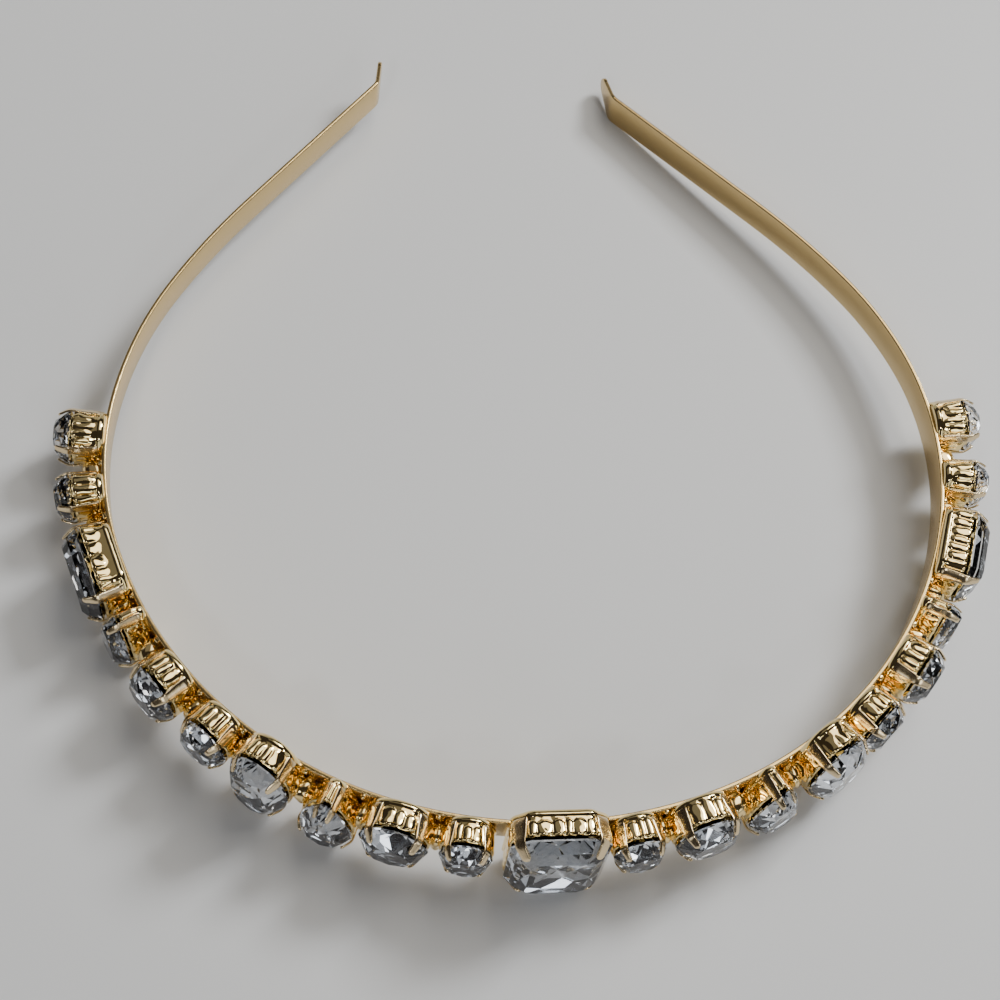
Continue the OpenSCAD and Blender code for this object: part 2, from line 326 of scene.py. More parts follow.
def gilding(name, colour, shaded_hollow, base, spread, wave, strength, brushed=False):
    """Metal with painted shade in its hollows and its own colour on its ridges; roughness is base + spread *
    noise of scale wave.
    """
    material, tree, shader = start_material(name)
    shader.inputs["Metallic"].default_value = 1.0
    worn = use(tree, polish, Scale=wave, Base=base, Spread=spread)
    bright = use(tree, tone_and_shade, Scale=RIDGE_SCALE).outputs["Brightness"]
    # Painted shade: the darker hollow colour where the tone-and-shade value is low, the metal's colour where
    # it is high.
    shade = two_colours(tree, bright, (SHADED_HOLLOW_STOP, shaded_hollow), (RIDGE_STOP, colour))
    tree.links.new(shade, shader.inputs["Base Color"])
    tree.links.new(worn.outputs["Roughness"], shader.inputs["Roughness"])
    relief = worn.outputs["Height"]
    if brushed:
        unrolled = add(tree, "ShaderNodeUVMap", uv_map="along")
        stretch = add(tree, "ShaderNodeMapping", Scale=(0.4, 60.0, 1.0))
        lines = add(tree, "ShaderNodeTexNoise", Scale=40.0, Detail=3.0)
        tree.links.new(unrolled.outputs["UV"], stretch.inputs["Vector"])
        tree.links.new(stretch.outputs["Vector"], lines.inputs["Vector"])
        relief = maths(tree, "ADD", relief, lines.outputs["Fac"])
    bump = add(tree, "ShaderNodeBump", Strength=strength, Distance=BUMP_DEPTH * MM)
    tree.links.new(relief, bump.inputs["Height"])
    tree.links.new(bump.outputs["Normal"], shader.inputs["Normal"])
    return material


# Each hollow colour is painted shade: the same gilding made darker for the grooves and gaps.
gold_cup = gilding("gilded cup", colour=(1.0, 0.79, 0.38), shaded_hollow=(0.97, 0.73, 0.32),
                   base=0.05, spread=0.06, wave=700.0, strength=0.06)
gold_claw = gilding("gilded claw", colour=(0.86, 0.68, 0.41), shaded_hollow=(0.74, 0.55, 0.31),
                    base=0.12, spread=0.12, wave=900.0, strength=0.30)
gold_strip = gilding("gilded strip", colour=(0.69, 0.50, 0.225), shaded_hollow=(0.57, 0.40, 0.165),
                     base=0.15, spread=0.12, wave=300.0, strength=0.25, brushed=True)
gold_solder = gilding("gilded solder", colour=(1.0, 0.76, 0.36), shaded_hollow=(0.94, 0.68, 0.28),
                      base=0.10, spread=0.08, wave=300.0, strength=0.05)
print("gilding:", gold_cup.name, gold_claw.name, gold_strip.name, gold_solder.name)

# %% [markdown]
# ## Glass and its silvered back
# Cut stones of this kind are clear glass whose back is silvered. Light goes in through the upper facets,
# bounces off the silvered ones and comes out again broken up. So the upper facets are a clear glass and the
# back facets a thin mirror, and the sparkle comes from the cut alone.

# %% Glass and silver
GLASS_IOR = 1.54
STONE_SCALE, SILVER_SCALE = 500.0, 900.0


def clear_glass(name):
    """Clear glass, with the faint smears of handling in its roughness."""
    material, tree, shader = start_material(name)
    shader.inputs["Base Color"].default_value = (0.97, 0.98, 1.0, 1)
    shader.inputs["Transmission Weight"].default_value = 1.0
    shader.inputs["IOR"].default_value = GLASS_IOR
    worn = use(tree, polish, Scale=STONE_SCALE, Base=0.0, Spread=0.03)
    tree.links.new(worn.outputs["Roughness"], shader.inputs["Roughness"])
    return material


def silvering(name):
    """Silvered back of a stone, with small uneven places in the coat."""
    material, tree, shader = start_material(name)
    shader.inputs["Metallic"].default_value = 1.0
    worn = use(tree, polish, Scale=STONE_SCALE, Base=0.03, Spread=0.06)
    spot = add(tree, "ShaderNodeTexCoord")
    patch = add(tree, "ShaderNodeTexNoise", Scale=SILVER_SCALE, Detail=2.0)
    tree.links.new(spot.outputs["Object"], patch.inputs["Vector"])
    coat = two_colours(tree, patch.outputs["Fac"], (0.35, (0.80, 0.83, 0.87)), (0.6, (0.92, 0.94, 0.97)))
    tree.links.new(coat, shader.inputs["Base Color"])
    tree.links.new(worn.outputs["Roughness"], shader.inputs["Roughness"])
    return material


glass = clear_glass("clear cut glass")
silver = silvering("silvered back")
print("stones:", glass.name, "and", silver.name)

# %% [markdown]
# ## The strip
# Rolled strip has flat faces and softly rounded edges. A curve with a bevel could stand for it, but would
# grow thinner too where it narrows. So its cross-section, a rectangle with round corners, is carried along
# the hoop's line, and past each bend it narrows to a round end at full thickness. Its map is the strip
# unrolled flat, for the brushed lines.

# %% Strip
EDGE_ROUND = 0.24
# Rings stand RING_STEP apart, and closer from FINE_FROM on, where the bend and the tip need them
RING_STEP, FINE_FROM, FINE_RINGS, TIP_RINGS, SECTION_POINTS = 0.9, 183, 24, 12, 24
MAP_UNIT = 10


def rounded_section(corners):
    """Unit section at angles f: the signs of cos f and sin f, which pick a corner, then cos f and sin f."""
    f = (np.arange(corners) + 0.5) * 2 * np.pi / corners
    return np.sign(np.cos(f)), np.sign(np.sin(f)), np.cos(f), np.sin(f)


def strip_surface():
    """Section carried along s: across is side * (width / 2 - r) + r cos f; through has sin f instead."""
    reach, tip = STRIP_END + TIP_LENGTH, TIP_WIDTH / 2
    rounding = reach - tip + tip * np.sin(np.linspace(0.05, 0.5, TIP_RINGS) * np.pi)
    half = np.concatenate([np.arange(0, FINE_FROM, RING_STEP),
                           np.linspace(FINE_FROM, reach - tip, FINE_RINGS), rounding])
    s = np.concatenate([-half[:0:-1], half])
    place, _, outward, upward = along_strip(s)
    past = np.clip((np.abs(s) - STRIP_END) / (TIP_LENGTH - tip), 0, 1)
    wide = STRIP_WIDTH + (TIP_WIDTH - STRIP_WIDTH) * past
    end = np.clip((np.abs(s) - reach + tip) / tip, 0, 1)
    wide = wide * np.sqrt(1 - end ** 2 * 0.995)
    sx, sy, cx, cy = rounded_section(SECTION_POINTS)
    r = np.minimum(EDGE_ROUND, wide / 2 * 0.9)[:, None]
    across = sx * (wide[:, None] / 2 - r) + r * cx
    through = STRIP_THICK / 2 + sy * (STRIP_THICK / 2 - r * 0.99) + r * 0.99 * cy
    rings = place[:, None] + across[..., None] * upward[:, None] + through[..., None] * outward[:, None]
    return s, across, rings


s, across, rings = strip_surface()
points, faces = skin(lying(rings.reshape(-1, 3)).reshape(rings.shape))
# The strip's painted-shade mark is 1 all over, so it takes none of the painted shade.
strip = new_piece("strip", points, faces, [gold_strip], marks={"ridge": np.ones(len(points))})
unrolled = np.zeros((len(points), 2))
unrolled[:across.size, 0] = np.repeat(s, across.shape[1]) / MAP_UNIT
unrolled[:across.size, 1] = across.ravel() / MAP_UNIT
corner = np.zeros(len(strip.data.loops), dtype=np.int32)
strip.data.loops.foreach_get("vertex_index", corner)
strip.data.uv_layers.new(name="along").data.foreach_set("uv", unrolled[corner].ravel())
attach(strip, "root")
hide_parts("hoop")
print("strip:", len(points), "points, length", round(2 * (STRIP_END + TIP_LENGTH), 1), "mm")

# %% [markdown]
# ## The row of stones
# Both halves hold the same stones, counted from the middle, at slightly different places. One table gives
# each pair its place along the hoop, its size and form, how far it is raised, how high the lip of its cup
# stands, and how high the stone rises from its edge to its table.

# %% Table of stones
# [place along the hoop, width, height, form, rise, lip, crown]
CENTRE = (-1.35, 14.2, 18.7, "octagon", 0, 3.6, 2.6)
# [distance on the left, distance on the right, width, height, form, rise, lip, crown]
PAIRS = ((13.3, 9.8, 7.8, 8.8, "round", 0, 3.7, 2.0), (22.9, 19.35, 10.2, 10.0, "round", 0, 3.9, 2.2),
         (32.4, 30.2, 8.2, 13.0, "drop", -1.9, 3.6, 2.0), (42.3, 40.1, 10.0, 15.0, "round", 0, 3.8, 2.4),
         (51.6, 49.2, 8.4, 9.2, "round", 0, 3.8, 2.1), (61.4, 59.2, 9.2, 10.2, "round", 0, 4.0, 2.3),
         (71.6, 68.7, 6.8, 12.0, "drop", -1.8, 3.5, 1.9), (81.4, 79.8, 12.9, 10.6, "octagon", 0, 4.0, 2.4),
         (93.5, 91.8, 6.8, 8.8, "round", 0, 4.4, 2.0), (103.2, 101.7, 8.1, 9.0, "round", 0, 4.6, 2.2))
# Angles of the four claws, from the strip's own direction, anticlockwise as seen from outside
ROUND_CLAWS, DROP_CLAWS = np.radians([47, 133, 227, 313]), np.radians([62, 118, 214, 326])
LAST_CLAWS = np.radians([29, 133, 227, 331])
LAST_PAIRS = ("_9", "10")


def spots():
    """Name, place along the hoop and measures of each stone."""
    yield "centre", CENTRE[0], CENTRE[1:]
    for number, c in enumerate(PAIRS, 1):
        yield "left_%d" % number, -c[0], c[2:]
        yield "right_%d" % number, c[1], c[2:]


def claw_angles(name, form):
    """Angles of the claws; on the last two pairs those nearer the middle stand closer to the strip."""
    if form == "drop":
        return DROP_CLAWS
    if not name.endswith(LAST_PAIRS):
        return ROUND_CLAWS
    return LAST_CLAWS if name.startswith("left") else np.sort(np.pi - LAST_CLAWS) % (2 * np.pi)


print("stones in the table:", len(list(spots())))

# %% [markdown]
# ## Rims
# Seen from the front, a cup or a stone is an oval, a drop or an octagon. Walls, lips, claws and facets all
# follow that outline, so one class answers for it: the point at a distance round the rim, moved inwards by
# e, and the direction that faces outwards there. The cup, the claws and the stone then fit one another.

# %% Rims
DROP_TAPER, DROP_NORM = 0.42, 1.075
CORNER_SHARE, CUP_CORNER, END_CLAW_SHIFT = 0.19, 2.0, 0.9
CURVE_POINTS, NEARBY = 1441, 0.02


class Rim:
    """Outline of a cup or a stone: points and outward directions from the distance round it."""

    def __init__(self, form, w, h, corner=0.0, claws=ROUND_CLAWS):
        self.form, self.w, self.h, self.corner, self.claw_angles = form, w, h, corner, claws
        if form == "octagon":
            self.make_octagon()
        else:
            self.angles = np.linspace(0, 2 * np.pi, CURVE_POINTS)
            steps = np.linalg.norm(np.diff(self.curve(self.angles, 0.0), axis=0), axis=1)
            self.walked = np.concatenate([[0], np.cumsum(steps)])
        self.length = self.walked[-1]

    def make_octagon(self):
        """Walk round eight sides joined by arcs; a corner moves inwards by a fixed part of the inset."""
        a, b, c = self.w / 2, self.h / 2, CORNER_SHARE * min(self.w, self.h)
        sign = np.array([[1, -1], [1, 1], [1, 1], [-1, 1], [-1, 1], [-1, -1], [-1, -1], [1, -1], [1, -1]])
        long, lost = np.array([a, b - c]), np.array([1, np.sqrt(2) - 1])
        high, less = np.array([a - c, b]), np.array([np.sqrt(2) - 1, 1])
        full = np.array([long, long, high, high] * 2 + [long])
        inner = np.array([lost, lost, less, less] * 2 + [lost])
        corner = sign * full
        sides = np.linalg.norm(np.diff(corner, axis=0), axis=1) - 2 * self.corner * np.tan(np.pi / 8)
        steps = np.stack([sides, np.full(8, self.corner * np.pi / 4)], -1).ravel()
        self.walked = np.concatenate([[0], np.cumsum(steps)])
        knot = np.arange(17)
        self.point = corner[(knot + 1) // 2]
        self.shift = -(sign * inner)[(knot + 1) // 2]
        self.facing = knot // 2 * np.pi / 4
        self.middles = self.walked[:-1:2] + sides / 2
        self.starts = self.walked[:-1:2]

    def curve(self, angle, e):
        """Oval: half sizes less e, times cosine and sine; a drop's x also shrinks towards its top."""
        pull = (1 - DROP_TAPER * np.sin(angle)) / DROP_NORM if self.form == "drop" else 1
        return np.stack([(self.w / 2 - e) * np.cos(angle) * pull, (self.h / 2 - e) * np.sin(angle)], -1)

    def at(self, s, e):
        """Point at the distance s, moved inwards by e."""
        s = np.mod(s, self.length)
        if self.form != "octagon":
            return self.curve(np.interp(s, self.walked, self.angles), e)
        r = np.clip(self.corner - e, 0, None)
        angle = np.interp(s, self.walked, self.facing)
        x, y = (np.interp(s, self.walked, self.point[:, i])
                + (e + r) * np.interp(s, self.walked, self.shift[:, i]) for i in (0, 1))
        return np.stack([x + r * np.cos(angle), y + r * np.sin(angle)], -1)

    def out(self, s):
        """Outward direction at the distance s."""
        if self.form == "octagon":
            angle = np.interp(np.mod(s, self.length), self.walked, self.facing)
            return np.stack([np.cos(angle), np.sin(angle)], -1)
        d = self.at(s + NEARBY, 0.0) - self.at(s - NEARBY, 0.0)
        d = d / np.linalg.norm(d, axis=-1, keepdims=True)
        return np.stack([d[..., 1], -d[..., 0]], -1)

    def claws(self):
        """Distances at which the four claws stand: an octagon's corners, or a curved rim's shoulders."""
        if self.form == "octagon":
            shift = END_CLAW_SHIFT if self.w > self.h else 0.0
            return self.middles[1::2] + shift * np.array([-1, 1, -1, 1])
        return np.interp(self.claw_angles, self.angles, self.walked)

    def strap(self):
        """Half the width of a claw where it leaves the wall."""
        return 0.055 * min(self.w, self.h) + 0.3


centre_rim = Rim(CENTRE[3], CENTRE[1], CENTRE[2], CUP_CORNER)
print("rim of the centre cup:", round(centre_rim.length, 1), "mm")

# %% [markdown]
# ## Onto the strip
# A cup and its stone are built flat, with x along the strip, y up and z outwards. Then their points are
# moved to the strip's outer face, so no object is turned and every pattern stays with its metal.

# %% Setting on the strip
def on_strip(points, s):
    """Local x, y, z go along the strip, up and outwards from its outer face at the distance s."""
    place, along, outward, upward = along_strip(np.array([float(s)]))
    start = place[0] + outward[0] * STRIP_THICK
    x, y, z = points[:, :1], points[:, 1:2], points[:, 2:]
    return lying(start + x * along[0] + y * upward[0] + z * outward[0])


print("foot of the centre cup:", np.round(on_strip(np.zeros((1, 3)), CENTRE[0])[0], 1), "mm")


# %% [markdown]
# ## Cups
# Each cup is pressed from thin sheet: a flat back, a smooth rounded shoulder, and a wall with upright flutes
# up to its lip. The wall is a profile carried round the rim, and the flutes push it outwards between the
# four smooth strips that run up into the claws. On the two sides that face the neighbouring cups, the flutes
# are wider and flatter. The tool is worn, so flutes differ, on some cups they are half rubbed away, and the
# sheet is never quite even. That unevenness breaks up the reflections, as it does on the real cups.

# %% Cup
FLUTE_PITCH, SIDE_PITCH, SIDE_SIZE, CREST, GROOVE = 1.65, 2.9, 0.5, 0.30, -0.26
FLUTE_WIDTHS, FLUTE_SIZES, FLUTE_STARTS = (0.55, 1.45), (0.45, 1.1), (-0.15, 0.05)
FLUTES_A_SIDE, FLUTE_FOOT, HEAD_FROM, HEAD_LENGTH, FULL_BULGE = 14, 0.3, 0.82, 0.18, 0.6
# SUNK is how deep the back reaches into the strip, and FLOOR is the height of the floor inside the cup
SHOULDER, BACK_INSET, SUNK, WALL, FLOOR, LIP_RADIUS = 0.75, 0.7, 0.25, 0.4, 1.0, 0.12
SHOULDER_ROWS, WALL_ROWS, LIP_ROWS = 9, 24, 8
FLARE, WAVE = 0.12, 0.022
WAVE_LENGTHS, WAVE_TILTS = np.array([6.1, 3.7, 2.3, 1.6]), (0.9, 1.6, -1.9, 2.6)
WORN, WORN_START = {"left_8": 0.97, "left_10": 0.7, "right_4": 0.9}, 0.35
GRAIN, STRAP_MARGIN = 0.12, 0.1
rng = np.random.default_rng(21)


def across_flute(rim, s):
    """Place across a flute from -1 to 1, its number, and whether a claw's smooth strip is there instead."""
    claws = rim.claws()
    half = rim.strap() + STRAP_MARGIN
    k = (np.searchsorted(claws, s) - 1) % 4
    usable = np.diff(np.append(claws, claws[0] + rim.length)) - 2 * half
    share = (np.mod(s - claws[k], rim.length) - half) / usable[k]
    x, number = 0 * s, 0 * k
    for side in range(4):
        here = k == side
        pitch = (FLUTE_PITCH, SIDE_PITCH)[side % 2]
        widths = rng.uniform(*FLUTE_WIDTHS, max(int(round(usable[side] / pitch)), 2))
        cuts = np.append(0, np.cumsum(widths)) / widths.sum()
        n = np.clip(np.searchsorted(cuts, share[here]) - 1, 0, len(widths) - 1)
        x[here] = np.clip(2 * (share[here] - cuts[n]) / (cuts[n + 1] - cuts[n]) - 1, -1, 1)
        number[here] = n + FLUTES_A_SIDE * side
    return x, number, (share < 0) | (share > 1)


def cup_profile(lip):
    """Rows of depth z, inset e and flute weight, from the back over the shoulder and lip to the floor."""
    turn = np.linspace(0, np.pi / 2, SHOULDER_ROWS)
    shoulder = np.stack([(SHOULDER + SUNK) * (1 - np.cos(turn)) - SUNK, BACK_INSET * (1 - np.sin(turn)),
                         1 + 0 * turn], -1)
    z = np.linspace(SHOULDER, lip - LIP_RADIUS, WALL_ROWS)[1:]
    wall = np.stack([z, 0.0 * z, 1 + 0 * z], -1)
    over = np.linspace(0, np.pi, LIP_ROWS)[1:]
    edge = np.stack([lip - LIP_RADIUS + LIP_RADIUS * np.sin(over), WALL / 2 * (1 - np.cos(over)),
                     0.5 * (1 + np.cos(over))], -1)
    inside = np.array([[FLOOR + 0.3, WALL, 0], [FLOOR, WALL + 0.4, 0]])
    return np.concatenate([[[-SUNK, BACK_INSET + 0.8, 0]], shoulder, wall, edge, inside])


def waves(s, z, length):
    """Slow unevenness: four sines of s, each going a whole number of times round the rim, tilted by z."""
    phase = rng.uniform(0, 2 * np.pi, 4)
    turns = np.round(length / WAVE_LENGTHS)
    return sum(np.sin(2 * np.pi * n * s / length + p + z * m) for n, p, m in zip(turns, phase, WAVE_TILTS))


def cup_surface(rim, lip, faint):
    """Profile round the rim. A flute stands out by (1 - x^2 - b^2)^0.6, where x goes from -1 to 1 across
    it, and b grows from 0 to 1 at its ends. Faint flutes start higher up and fade towards their foot."""
    places = int(rim.length / GRAIN)
    s = np.arange(places) * rim.length / places
    x, number, smooth = across_flute(rim, s)
    size = rng.uniform(*FLUTE_SIZES, 4 * FLUTES_A_SIDE + 4)[number]
    start = rng.uniform(*FLUTE_STARTS, 4 * FLUTES_A_SIDE + 4)[number] + WORN_START * faint
    size = np.where(number // FLUTES_A_SIDE % 2, SIDE_SIZE * size, size)
    z, e, weight = cup_profile(lip).T[:, :, None]
    t = (z - SHOULDER) / (lip - SHOULDER)
    b = np.clip((start + FLUTE_FOOT - t) / FLUTE_FOOT, 0, 1) + np.clip((t - HEAD_FROM) / HEAD_LENGTH, 0, 1)
    bulge = np.clip(1 - x ** 2 - b ** 2, 0, 1) ** FULL_BULGE
    bump = bulge * size * ~smooth * (1 - faint * smooth_step(1.1 - t))
    sunk = weight * smooth_step((z - SHOULDER + 0.2) / 0.25)
    level = GROOVE + (CREST - GROOVE) * np.where(smooth, 0.4, bump)
    pushed = sunk * (level + FLARE * t) + WAVE * waves(s, z, rim.length) * np.clip(t + 0.3, 0, 1)
    xy = rim.at(s[None] + 0 * e, e + 0 * s[None]) + rim.out(s)[None] * pushed[..., None]
    # Mark for painted shade: 0.1 in a flute's groove, up to 1 on its crest, 0.8 on the claws' strips, 0.9
    # elsewhere.
    ridge = np.where(sunk > 0.1, np.where(smooth, 0.8, 0.1 + 0.9 * bump), 0.9 + 0 * s[None])
    return np.concatenate([xy, (z + 0 * s[None])[..., None]], -1), ridge


print("rows in the profile of the centre cup:", len(cup_profile(CENTRE[5])))

# %% [markdown]
# ## Claws
# At four places a strap runs up the wall and is bent over the stone's edge. Straight claws would cut into
# the curved stones, so a strap follows the rim's own curve: it climbs beside the wall, goes round the
# stone's edge and lies on its slope, narrower towards its rounded end. Its section is a flat strip with
# soft edges. Smoothing the path three times gives the bends the radius of bent sheet.

# %% Claw
CLAW_THICK, CLAW_GAP, CLAW_NARROW, CLAW_WIDEN = 0.36, 0.07, 0.6, 1.15
CLAW_RINGS, CLAW_TIP_RINGS, CLAW_TIP, CLAW_POINTS = 26, 10, 0.6, 24
# A stone's edge starts STONE_LIFT above the lip and is GIRDLE high; its table is inset by BORDER_SHARE
STONE_LIFT, GIRDLE, BORDER_SHARE, EDGE_INSET = 0.55, 0.25, 0.20, 0.05
MID_BORDER, MID_CROWN = 0.42, 0.6


def claw_path(rim, lip, crown):
    """Centre line of a claw as inset and depth: up the wall, round the stone's edge, along its slope."""
    edge = lip + STONE_LIFT + GIRDLE
    border = BORDER_SHARE * min(rim.w, rim.h)
    off = CLAW_GAP + CLAW_THICK / 2
    low = np.array([EDGE_INSET, edge])
    slope = np.array([EDGE_INSET + MID_BORDER * (border - EDGE_INSET), edge + MID_CROWN * crown])
    d = (slope - low) / np.linalg.norm(slope - low)
    side = np.array([-d[1], d[0]])
    wall = [[0.45, 0.2], [0.05, 0.9], [-0.1, lip - 0.5]]
    beside, over = low - [off + 0.05, 0.3], low + side * off * 1.1 + d * 0.15
    lying_on, pressed = slope + side * off + d * 0.1, slope + side * off * 0.75 + d * 0.35 + [0.1, 0.0]
    knots = np.array([*wall, beside, over, lying_on, pressed])
    chord = np.concatenate([[0], np.cumsum(np.linalg.norm(np.diff(knots, axis=0), axis=1))])
    reach = chord[-1]
    u = np.concatenate([np.linspace(0, reach - CLAW_TIP, CLAW_RINGS),
                        reach - CLAW_TIP * np.cos(np.linspace(0, 1.5, CLAW_TIP_RINGS)[1:])])
    fine = np.stack([np.interp(u, chord, knots[:, i]) for i in (0, 1)], -1)
    for _ in range(3):
        fine[1:-1] = (fine[:-2] + 2 * fine[1:-1] + fine[2:]) / 4
    return fine, u, reach


def claw_surface(rim, lip, crown, middle):
    """Strap point = rim(middle + half width * q, inset + thickness * p), with p, q round a soft section."""
    fine, u, reach = claw_path(rim, lip, crown)
    d = np.gradient(fine, axis=0)
    d /= np.linalg.norm(d, axis=1, keepdims=True)
    side = np.stack([-d[:, 1], d[:, 0]], -1)
    narrowing = 1 - (1 - CLAW_NARROW) * smooth_step((u - 0.5) / (reach - 0.5))
    half = CLAW_WIDEN * rim.strap() * narrowing
    tip = 1.1 * rim.strap() * CLAW_NARROW
    half = half * np.sqrt(1 - np.clip((u - reach + tip) / tip, 0, 1) ** 2 * 0.99)
    f = (np.arange(CLAW_POINTS) + 0.5) * 2 * np.pi / CLAW_POINTS
    q = np.sign(np.cos(f)) * np.abs(np.cos(f)) ** 0.4
    thick = CLAW_THICK / 2 * np.sign(np.sin(f)) * np.abs(np.sin(f)) ** 0.5
    thin = np.minimum(1, half / 0.25)[:, None]
    e = fine[:, :1] + side[:, :1] * thick * thin
    z = fine[:, 1:] + side[:, 1:] * thick * thin
    return np.concatenate([rim.at(middle + half[:, None] * q, e), z[..., None]], -1)


print("claw of the centre cup:", round(claw_path(centre_rim, *CENTRE[5:])[2], 1), "mm long")

# %% [markdown]
# ## Assembling the cups
# A wall and its four claws are one pressed piece on the real thing, so they become one object with two
# finishes. The attribute that sets the painted shade is filled in here: it follows the flutes on a wall, low
# in a groove, and is high on a claw.

# %% Make the cups
# CLAW_RIDGE is the painted-shade mark on the claws, high so they take little of it.
CLAW_RIDGE, FAINTEST = 0.9, 0.5
cups = []
for name, s, (w, h, form, lift, lip, crown) in spots():
    rim = Rim(form, w, h, CUP_CORNER, np.sort(claw_angles(name, form)))
    wall, ridge = cup_surface(rim, lip, WORN.get(name, rng.uniform(0.0, FAINTEST)))
    shapes = [skin(wall)]
    marks = [ridge.ravel(), [CLAW_RIDGE, CLAW_RIDGE]]
    slots = [np.zeros(count(shapes[0][1]), dtype=int)]
    for middle in rim.claws():
        shapes.append(skin(claw_surface(rim, lip, crown, middle)[:, ::-1]))
        marks.append(np.full(len(shapes[-1][0]), CLAW_RIDGE))
        slots.append(np.ones(count(shapes[-1][1]), dtype=int))
    points, faces = join(shapes)
    cup = new_piece("cup_" + name, on_strip(points + [0, lift, 0], s), faces, [gold_cup, gold_claw],
                    np.concatenate(slots), marks={"ridge": np.concatenate(marks)})
    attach(cup, "root")
    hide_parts("hoop")
    cups.append(cup)
print("cups:", len(cups), "with", sum(len(c.data.polygons) for c in cups), "faces")

# %% [markdown]
# ## Solder
# The cups are joined to the strip and to each other with solder, which freezes in uneven drops. A wide drop
# and a small bead above it fill each gap between two cups, apart from the two gaps beside the centre stone,
# where the strip shows bare. Fluid would be slow to work out for so little, so a drop is a ball whose radius
# wanders a little, with its sides made fuller.

# %% Make the solder
FULLNESS, OVERLAP = 0.85, 0.9
DROP_AROUND, DROP_ROWS, DROP_RIDGE = 36, 19, 0.7


def drop(s, y, z, half, number):
    """Ball of radius 1 + 0.08 sin(2a + n) sin(2b) + 0.04 sin(3a - n) sin(b), each coordinate of which is
    raised to the power FULLNESS and multiplied by its half size."""
    a = np.arange(DROP_AROUND) * 2 * np.pi / DROP_AROUND
    b = np.linspace(0.1, np.pi - 0.1, DROP_ROWS)[:, None]
    r = 1 + 0.08 * np.sin(2 * a + number) * np.sin(2 * b) + 0.04 * np.sin(3 * a - number) * np.sin(b)
    ball = np.stack([r * np.cos(a) * np.sin(b), r * np.sin(a) * np.sin(b), -r * np.cos(b) + 0 * a], -1)
    points, faces = skin(np.sign(ball) * np.abs(ball) ** FULLNESS)
    return on_strip(points * half + [0, y, z], s), faces


drops = []
edges = sorted((s - size[0] / 2, s + size[0] / 2) for _, s, size in spots())
for number, (one, other) in enumerate(zip(edges[:-1], edges[1:])):
    gap = other[0] - one[1]
    middle = (other[0] + one[1]) / 2
    if one[0] > CENTRE[0] or other[1] < CENTRE[0]:
        half = (gap / 2 + OVERLAP, rng.uniform(1.9, 2.4), 2.0)
        drops.append(drop(middle, rng.uniform(-2.0, -1.4), 1.4, half, number))
        drops.append(drop(middle + rng.uniform(-0.6, 0.6), rng.uniform(2.0, 2.3), 0.1,
                          rng.uniform(0.35, 0.6, 3), rng.uniform(0, 6)))
points, faces = join(drops)
# The solder's middling mark gives it part of the painted hollow shade.
marks = {"ridge": np.full(len(points), DROP_RIDGE)}
solder = new_piece("solder", points, faces, [gold_solder], marks=marks)
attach(solder, "root")
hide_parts("hoop")
print("solder drops:", len(drops))

# %% [markdown]
# ## Cut stones
# Round and drop stones have the brilliant cut: an eight-sided table, a ring of star and kite facets, and
# pairs of facets at the edge. The octagons have two steps round their table. Below the edge, every stone
# narrows in rings of triangles to a point. Their corners stand a little out of place, because moulded glass
# is never quite even, and even facets would all flash at once. Cutting a block with planes would leave
# slivers, so each facet's corners are worked out. Facets are flat, so a stone is shaded flat.

# %% Facets
# [inset as a share of the smaller side, height above the cup's floor as a share of the edge's]
BACK_ROWS = ((0.16, 0.66), (0.30, 0.34), (0.41, 0.12))
BACK_UNEVEN, BACK_POINT = 0.06, 0.05
STAR_BORDER, STAR_CROWN, BELT_INSET, BELT_HEIGHT = 0.46, 0.38, 0.10, 0.80
STEP_CROWN, HAIR = 0.4, 1e-6


def fan(*columns):
    """Array of faces from columns of corner numbers, one column for each corner."""
    return np.stack(columns, -1)


def cut_rows(rim, rows):
    """Points of a stone from rows of [angles or distances, inset, depth]."""
    place = rim.at if rim.form == "octagon" else rim.curve
    rings = [np.concatenate([place(t, e), np.full((len(t), 1), z)], 1) for t, e, z in rows]
    return np.concatenate(rings)


def pavilion(rim, stations, first, small, edge):
    """Back facets: a ring for each row, half a step from the last, joined by triangles to a point."""
    n = len(stations)
    turn = rim.length if rim.form == "octagon" else 2 * np.pi
    between = (stations + np.mod(np.roll(stations, -1) - stations, turn) / 2) % turn
    rows = [((between, stations)[row % 2], inset * small, FLOOR + share * (edge - FLOOR))
            for row, (inset, share) in enumerate(BACK_ROWS)]
    points = cut_rows(rim, rows)
    points[:, 2] += rng.uniform(-BACK_UNEVEN, BACK_UNEVEN, len(points)) * (edge - FLOOR)
    points = np.concatenate([points, [[0, 0, FLOOR + BACK_POINT]]])
    i = np.arange(n)
    j = (i + 1) % n
    faces, upper = [], first
    for row in range(len(rows)):
        lower = first + n * (row + 1)
        if row % 2 == 0:
            faces += [fan(upper + j, upper + i, lower + i), fan(upper + j, lower + i, lower + j)]
        else:
            faces += [fan(upper + j, upper + i, lower + j), fan(upper + i, lower + i, lower + j)]
        upper = lower
    return points, faces + [fan(upper + j, upper + i, np.full(n, first + n * (len(rows) + 1)))]


